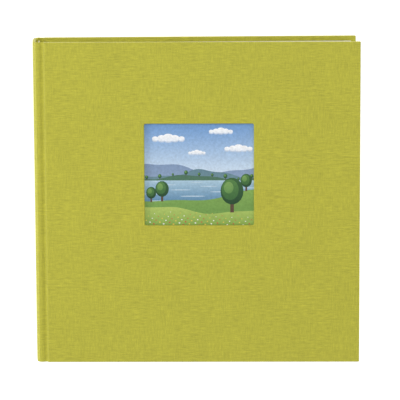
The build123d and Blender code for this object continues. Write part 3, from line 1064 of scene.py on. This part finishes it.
# %% Print paper material
def print_material():
    material, tree, shader = new_material("glossy_print")
    ink = add_node(tree, "ShaderNodeVertexColor", layer_name="ink")
    place = add_node(tree, "ShaderNodeTexCoord").outputs["Object"]
    grain = add_node(tree, "ShaderNodeTexNoise", {
        "Vector": place, "Scale": 420.0, "Detail": 4.0, "Roughness": 0.7})
    strength = mapped(tree, grain.outputs[0], 0.3, 0.7, 0.86, 1.12)
    shade = add_node(tree, "ShaderNodeVectorMath", {0: ink.outputs[0], "Scale": strength}, operation="SCALE")
    tree.links.new(shade.outputs[0], shader.inputs["Base Color"])
    shader.inputs["Roughness"].default_value = 0.32
    shader.inputs["Specular IOR Level"].default_value = 0.4
    return material


landscape = add_piece("landscape_print", printed_sheet("landscape_print"), print_material(), smooth=False)
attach(landscape, "front_cover")
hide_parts("window_picture")
print("print has", len(landscape.data.polygons), "faces")

# %% [markdown]
# ## Pastedowns
# The glued half of each endpaper hides the turned-in cloth, and at the joint it runs on to the
# block. It rests on the board, dips with the joint when the album opens, and ends under the
# flyleaf. The same sheet tree makes it, lying level, with its crease at the board's edge.

# %% Pastedowns
PASTEDOWN_END = {side: flat_reach(f"{side}_pastedown") for side in ("back", "front")}
PASTEDOWN_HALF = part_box("back_pastedown")[1].y
PASTEDOWN_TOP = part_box("back_pastedown")[1].z
PASTEDOWN_THICK = 0.2 * MM
for side in ("back", "front"):
    sheet = grown(f"{side}_glued_endpaper", SHEET, {
        "Start": SPINE_X + 5.3 * MM, "End": PASTEDOWN_END[side], "Half height": PASTEDOWN_HALF,
        "Fold": SPINE_X + BOARD_EDGE, "Level": PASTEDOWN_TOP - PASTEDOWN_THICK, "Tilt": 0.0,
        "Thickness": PASTEDOWN_THICK, "Wave": 0.0, "Crease": 0.0, "Seed": 1.0, "Material": ENDPAPER})
    if side == "front":
        for vertex in sheet.data.vertices:
            x = vertex.co.x - SPINE_X
            flat = Vector((vertex.co.x, vertex.co.y, SPINE_TALL - vertex.co.z))
            vertex.co = lift_point(flat, smooth_share(x, JOINT_NEAR, JOINT_FAR))
        sheet.data.flip_normals()
    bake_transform(sheet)
    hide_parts(f"{side}_pastedown")
print("pastedowns reach", [round((x - SPINE_X) / MM, 1) for x in PASTEDOWN_END.values()], "mm from the spine")

# %% [markdown]
# ## Guard strips, by rule
# Between the bound margins lie folded strips of card that make the spine as thick as the
# mounted pictures will make the leaves. Strip number i lies halfway between leaves i and i+1
# and ends a little before the shorter fold. That is a rule, so a node tree places them: one
# point per strip, and each point turned into a strip with its own length.


# %% Geometry Nodes: guard strips
def guard_tree(leaves):
    tree, given, out = new_tree("Guard strips", [
        ("Back", FLOAT), ("First fold", FLOAT), ("First level", FLOAT), ("Pitch", FLOAT),
        ("Half height", FLOAT), ("Gap", FLOAT), ("Ply", FLOAT), ("Material", "NodeSocketMaterial")])
    points = add_node(tree, "GeometryNodeMeshLine", {"Count": 2 * (leaves - 1)})
    index = tree.nodes.new("GeometryNodeInputIndex").outputs[0]
    strip = maths(tree, "FLOOR", maths(tree, "MULTIPLY", index, 0.5))
    ply = maths(tree, "SUBTRACT", index, maths(tree, "MULTIPLY", strip, 2.0))
    from_front = maths(tree, "SUBTRACT", leaves - 2.0, strip)
    near_cover = maths(tree, "MINIMUM", strip, from_front)
    fold = maths(tree, "MULTIPLY_ADD", near_cover, given["Pitch"], given["First fold"])
    length = maths(tree, "SUBTRACT", maths(tree, "SUBTRACT", fold, given["Gap"]), given["Back"])
    level = maths(tree, "MULTIPLY_ADD", maths(tree, "ADD", strip, 0.5), given["Pitch"], given["First level"])
    offset = maths(tree, "MULTIPLY", maths(tree, "SUBTRACT", ply, 0.5), given["Ply"])
    middle = maths(tree, "MULTIPLY_ADD", length, 0.5, given["Back"])
    placed = add_node(tree, "GeometryNodeSetPosition", {
        "Geometry": points.outputs[0],
        "Position": add_node(tree, "ShaderNodeCombineXYZ", {
            0: middle, 1: 0.0, 2: maths(tree, "ADD", level, offset)}).outputs[0]})
    card = add_node(tree, "GeometryNodeMeshCube", {"Size": (1.0, 1.0, 1.0)})
    high = maths(tree, "MULTIPLY", given["Half height"], 2.0)
    thin = maths(tree, "MULTIPLY", given["Ply"], 0.94)
    size = add_node(tree, "ShaderNodeCombineXYZ", {0: length, 1: high, 2: thin})
    middle_fold = add_node(tree, "FunctionNodeCompare", {0: strip, 1: leaves / 2 - 1.0, "Epsilon": 0.1},
                           operation="NOT_EQUAL", data_type="FLOAT")
    strips = add_node(tree, "GeometryNodeInstanceOnPoints", {
        "Points": placed.outputs[0], "Selection": middle_fold.outputs[0], "Instance": card.outputs[0],
        "Scale": size.outputs[0]})
    end_tree(tree, strips.outputs[0], given["Material"], out)
    return tree


FOLD_1, LEVEL_1 = (hinges["leaf_turn_01"]["pos_m"][i] for i in (0, 2))
PITCH = hinges["leaf_turn_02"]["pos_m"][2] - LEVEL_1
guards = grown("card_guards", guard_tree(LEAVES), {
    "Back": BLOCK_BACK, "First fold": FOLD_1, "First level": LEVEL_1, "Pitch": PITCH,
    "Half height": LEAF_HALF, "Gap": 0.4 * MM, "Ply": (PITCH - LEAF_THICK) / 2, "Material": PHOTO_CARD})
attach(guards, "spine")
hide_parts("guard_strips")
print("guard strips:", len(guards.data.polygons) // 12, "folded strips")

# %% [markdown]
# ## Head and tail bands
# A band is a cord with silk wound round it in two colours, and it closes the gap between the
# block and the spine. Wound thread is a row of rings, each leaning a little, so the tree sets
# rings along a line and leaves every few of them to a second colour.


# %% Silk and thread materials
def silk_material(name, colour):
    material, tree, shader = new_material(name)
    place = add_node(tree, "ShaderNodeTexCoord").outputs["Object"]
    sheen = add_node(tree, "ShaderNodeTexNoise", {"Vector": place, "Scale": 900.0, "Detail": 2.0})
    strength = mapped(tree, sheen.outputs[0], 0.3, 0.7, 0.85, 1.15)
    shade = add_node(tree, "ShaderNodeVectorMath", {0: colour[:3], "Scale": strength}, operation="SCALE")
    tree.links.new(shade.outputs[0], shader.inputs["Base Color"])
    shader.inputs["Roughness"].default_value = 0.45
    return material


GREEN_SILK = silk_material("green_silk", linear(142, 140, 46))
CREAM_SILK = silk_material("cream_silk", linear(236, 228, 196))
WAXED_THREAD = silk_material("waxed_thread", linear(232, 226, 208))


# %% Geometry Nodes: bands and stitches
def band_tree():
    tree, given, out = new_tree("Wound band", [
        ("Low", "NodeSocketVector"), ("High", "NodeSocketVector"), ("Radius", FLOAT),
        ("Turns", "NodeSocketInt"), ("First silk", "NodeSocketMaterial"),
        ("Second silk", "NodeSocketMaterial")])
    line = add_node(tree, "GeometryNodeCurvePrimitiveLine", {"Start": given["Low"], "End": given["High"]})
    rings = add_node(tree, "GeometryNodeResampleCurve", {"Curve": line.outputs[0], "Count": given["Turns"]})
    ring = add_node(tree, "GeometryNodeCurvePrimitiveCircle", {
        "Resolution": 14, "Radius": maths(tree, "MULTIPLY", given["Radius"], 0.82)})
    strand = add_node(tree, "GeometryNodeCurvePrimitiveCircle", {
        "Resolution": 6, "Radius": maths(tree, "MULTIPLY", given["Radius"], 0.19)})
    wound = add_node(tree, "GeometryNodeCurveToMesh", {
        "Curve": ring.outputs[0], "Profile Curve": strand.outputs[0]})
    lean = (math.radians(5), math.radians(7), 0.0)
    wraps = add_node(tree, "GeometryNodeInstanceOnPoints", {
        "Points": rings.outputs[0], "Instance": wound.outputs[0], "Rotation": lean})
    turn_number = tree.nodes.new("GeometryNodeInputIndex").outputs[0]
    pair = maths(tree, "FLOOR", maths(tree, "MULTIPLY", turn_number, 1 / 3))
    other = add_node(tree, "FunctionNodeCompare", {
        0: maths(tree, "MODULO", pair, 2.0), 1: 0.5}, operation="GREATER_THAN", data_type="FLOAT")
    parts = add_node(tree, "GeometryNodeSeparateGeometry", {0: wraps.outputs[0], 1: other.outputs[0]},
                     domain="INSTANCE")
    cord = add_node(tree, "GeometryNodeCurveToMesh", {
        "Curve": line.outputs[0], "Fill Caps": True,
        "Profile Curve": add_node(tree, "GeometryNodeCurvePrimitiveCircle", {
            "Resolution": 12, "Radius": maths(tree, "MULTIPLY", given["Radius"], 0.8)}).outputs[0]})
    both = add_node(tree, "GeometryNodeJoinGeometry")
    for made, silk in ((parts.outputs[0], "First silk"), (parts.outputs[1], "Second silk"),
                       (cord.outputs[0], "Second silk")):
        real = add_node(tree, "GeometryNodeRealizeInstances", {0: made})
        painted = add_node(tree, "GeometryNodeSetMaterial", {
            "Geometry": real.outputs[0], "Material": given[silk]})
        tree.links.new(painted.outputs[0], both.inputs[0])
    tree.links.new(both.outputs[0], out["Geometry"])
    return tree


def stitch_tree():
    tree, given, out = new_tree("Twisted stitches", [
        ("Middle", "NodeSocketVector"), ("Length", FLOAT), ("Radius", FLOAT), ("Count", "NodeSocketInt"),
        ("Step", "NodeSocketVector"), ("Material", "NodeSocketMaterial")])
    turns = 26.0
    helix = add_node(tree, "GeometryNodeCurveSpiral", {
        "Resolution": 10, "Rotations": turns, "Start Radius": maths(tree, "MULTIPLY", given["Radius"], 0.45),
        "End Radius": maths(tree, "MULTIPLY", given["Radius"], 0.45), "Height": given["Length"]})
    strand = add_node(tree, "GeometryNodeCurvePrimitiveCircle", {
        "Resolution": 6, "Radius": maths(tree, "MULTIPLY", given["Radius"], 0.54)})
    ply = add_node(tree, "GeometryNodeCurveToMesh", {
        "Curve": helix.outputs[0], "Profile Curve": strand.outputs[0], "Fill Caps": True})
    second = add_node(tree, "GeometryNodeTransform", {
        "Geometry": ply.outputs[0], "Rotation": (0.0, 0.0, math.pi)})
    both = add_node(tree, "GeometryNodeJoinGeometry")
    tree.links.new(ply.outputs[0], both.inputs[0])
    tree.links.new(second.outputs[0], both.inputs[0])
    laid = add_node(tree, "GeometryNodeTransform", {
        "Geometry": both.outputs[0], "Rotation": (math.radians(-90), 0.0, 0.0),
        "Translation": add_node(tree, "ShaderNodeCombineXYZ", {
            0: 0.0, 1: maths(tree, "MULTIPLY", given["Length"], -0.5), 2: 0.0}).outputs[0]})
    points = add_node(tree, "GeometryNodeMeshLine", {
        "Count": given["Count"], "Start Location": given["Middle"], "Offset": given["Step"]})
    stitches = add_node(tree, "GeometryNodeInstanceOnPoints", {
        "Points": points.outputs[0], "Instance": laid.outputs[0]})
    end_tree(tree, stitches.outputs[0], given["Material"], out)
    return tree


BAND_TURNS = 66
BAND = band_tree()
for node, sign in (("head_band", 1), ("tail_band", -1)):
    low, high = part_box(node)
    radius = (high.x - low.x) / 2
    y = sign * (max(abs(low.y), abs(high.y)) - radius)
    middle_x = (low.x + high.x) / 2
    band = grown(node.replace("_", "_silk_"), BAND, {
        "Low": (middle_x, y, low.z + 0.2 * MM), "High": (middle_x, y, high.z - 0.2 * MM), "Radius": radius,
        "Turns": BAND_TURNS, "First silk": GREEN_SILK, "Second silk": CREAM_SILK})
    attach(band, "spine")
    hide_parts(node)

STITCHES, STITCH_LENGTH = 6, 38 * MM
thread_low, thread_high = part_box("sewing_thread")
stitch_step = 2 * LEAF_HALF / STITCHES
stitches = grown("twisted_stitches", stitch_tree(), {
    "Middle": ((thread_low.x + thread_high.x) / 2, -LEAF_HALF + stitch_step / 2, SPINE_TALL / 2),
    "Length": STITCH_LENGTH, "Radius": (thread_high.x - thread_low.x) / 2, "Count": STITCHES,
    "Step": (0.0, stitch_step, 0.0), "Material": WAXED_THREAD})
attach(stitches, "spine")
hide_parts("sewing_thread")
print("bands and stitches:", len(band.data.polygons), "and", len(stitches.data.polygons), "faces")

# %% [markdown]
# ## Finishes for the parts that stay
# Boards, gauze and lining keep the shape they have in the design, since they are plain sheets
# behind cloth and paper. They only get their materials. The gauze is a very open weave, drawn
# here by two crossing waves.


# %% Gauze and the parts that stay
def gauze_material():
    material, tree, shader = new_material("glued_gauze")
    position = add_node(tree, "ShaderNodeTexCoord").outputs["Object"]
    place = add_node(tree, "ShaderNodeSeparateXYZ", {0: position})
    threads = []
    for axis in (1, 2):
        wave = maths(tree, "SINE", maths(tree, "MULTIPLY", place.outputs[axis], 2 * math.pi / (1.1 * MM)))
        threads.append(maths(tree, "POWER", maths(tree, "ABSOLUTE", wave), 3.0))
    net = maths(tree, "MAXIMUM", threads[0], threads[1])
    colour = add_node(tree, "ShaderNodeMix", {0: net, 6: linear(176, 158, 120), 7: linear(234, 228, 210)},
                      data_type="RGBA")
    tree.links.new(colour.outputs[2], shader.inputs["Base Color"])
    shader.inputs["Roughness"].default_value = 0.9
    return material


STAYING = {"back_board": GREYBOARD, "front_board": GREYBOARD, "spine_board": GREYBOARD,
           "picture_backing": WHITE_LINED, "spine_lining": KRAFT, "spine_mull": gauze_material()}
for node, material in STAYING.items():
    data = frame["nodes"][node].data
    data.materials.clear()
    data.materials.append(material)
for node in set(frame["nodes"]) - set(STAYING):
    data = frame["nodes"][node].data
    data.materials.clear()
    data.materials.append(PHOTO_CARD)
print("staying parts:", ", ".join(sorted(STAYING)))

# %% [markdown]
# ## Camera
# The album lies on its back cover and the camera looks almost straight down at it, from far
# away and a little towards the head. A long lens from far away keeps the cover nearly
# rectangular. A camera looks along its own -Z, with Y up in the picture, so its matrix is
# built from those three directions.

# %% Camera
LOOK_AT = Vector((-4.25 * MM, 0.0, 15.0 * MM))
CAMERA_AWAY = 3.2061
CAMERA_LENS = 302.95
CAMERA_SHIFT = (0.01885, -0.00104)
CAMERA_SIDE, CAMERA_HEAD, CAMERA_ROLL = (math.radians(a) for a in (-0.529, 12.302, -0.295))

toward = Vector((math.sin(CAMERA_SIDE) * math.cos(CAMERA_HEAD), math.sin(CAMERA_HEAD),
                 math.cos(CAMERA_SIDE) * math.cos(CAMERA_HEAD)))
right = (-toward).cross(Vector((0, 1, 0))).normalized()
up = right.cross(-toward)
rolled_right = math.cos(CAMERA_ROLL) * right + math.sin(CAMERA_ROLL) * up
rolled_up = math.cos(CAMERA_ROLL) * up - math.sin(CAMERA_ROLL) * right
axes = Matrix((rolled_right, rolled_up, toward)).transposed().to_4x4()
camera = bpy.data.objects.new("camera", bpy.data.cameras.new("camera"))
camera.matrix_world = Matrix.Translation(LOOK_AT + CAMERA_AWAY * toward) @ axes
camera.data.lens = CAMERA_LENS
camera.data.sensor_width = 36.0
camera.data.shift_x, camera.data.shift_y = CAMERA_SHIFT
camera.data.clip_end = 20.0
bpy.context.scene.collection.objects.link(camera)
bpy.context.scene.camera = camera
print("camera at", [round(v, 3) for v in camera.matrix_world.translation])

# %% [markdown]
# ## Floor and light
# The floor is a plain white sheet, bright enough that only a faint contact shadow shows. The
# light is soft: a large softbox over the head of the album, a low one beside the spine that
# brightens its shoulder, a weak one on the other side, and an even white world. A hard lamp
# would draw a shadow that a catalogue picture doesn't have.

# %% Floor
FLOOR_HALF = 15.0
FLOOR_DROP = 0.2 * MM
floor_data = bpy.data.meshes.new("floor")
floor_corners = [(x * FLOOR_HALF, y * FLOOR_HALF, 0) for x, y in ((-1, -1), (1, -1), (1, 1), (-1, 1))]
floor_data.from_pydata(floor_corners, [], [(0, 1, 2, 3)])
floor = bpy.data.objects.new("floor", floor_data)
floor.location.z = -FLOOR_DROP
bpy.context.scene.collection.objects.link(floor)
FLOOR, tree, shader = new_material("white floor")
shader.inputs["Base Color"].default_value = (0.92, 0.92, 0.92, 1.0)
shader.inputs["Roughness"].default_value = 0.9
shader.inputs["Specular IOR Level"].default_value = 0.0
shader.inputs["Emission Color"].default_value = (1.0, 1.0, 1.0, 1.0)
shader.inputs["Emission Strength"].default_value = 0.6
floor_data.materials.append(FLOOR)
print("floor ready")


# %% Lamps
def softbox(name, place, size, power, aim=(0.0, 0.0, 0.0)):
    lamp = bpy.data.lights.new(name, "AREA")
    lamp.shape = "DISK"
    lamp.size = size
    lamp.energy = power
    obj = bpy.data.objects.new(name, lamp)
    obj.location = place
    obj.rotation_euler = (Vector(aim) - Vector(place)).to_track_quat("-Z", "Y").to_euler()
    bpy.context.scene.collection.objects.link(obj)
    return obj


softbox("key", (-0.1, 1.25, 1.8), 0.9, 16.6)
softbox("edge", (-1.5, 0.0, 0.55), 0.5, 11.0)
softbox("fill", (1.1, -0.9, 1.6), 1.4, 7.5)
world = bpy.data.worlds.new("white room")
world.use_nodes = True
world.node_tree.nodes["Background"].inputs["Color"].default_value = (1.0, 1.0, 1.0, 1.0)
world.node_tree.nodes["Background"].inputs["Strength"].default_value = 0.44
bpy.context.scene.world = world
bpy.context.scene.view_settings.view_transform = "Standard"
print("lamps and room ready")
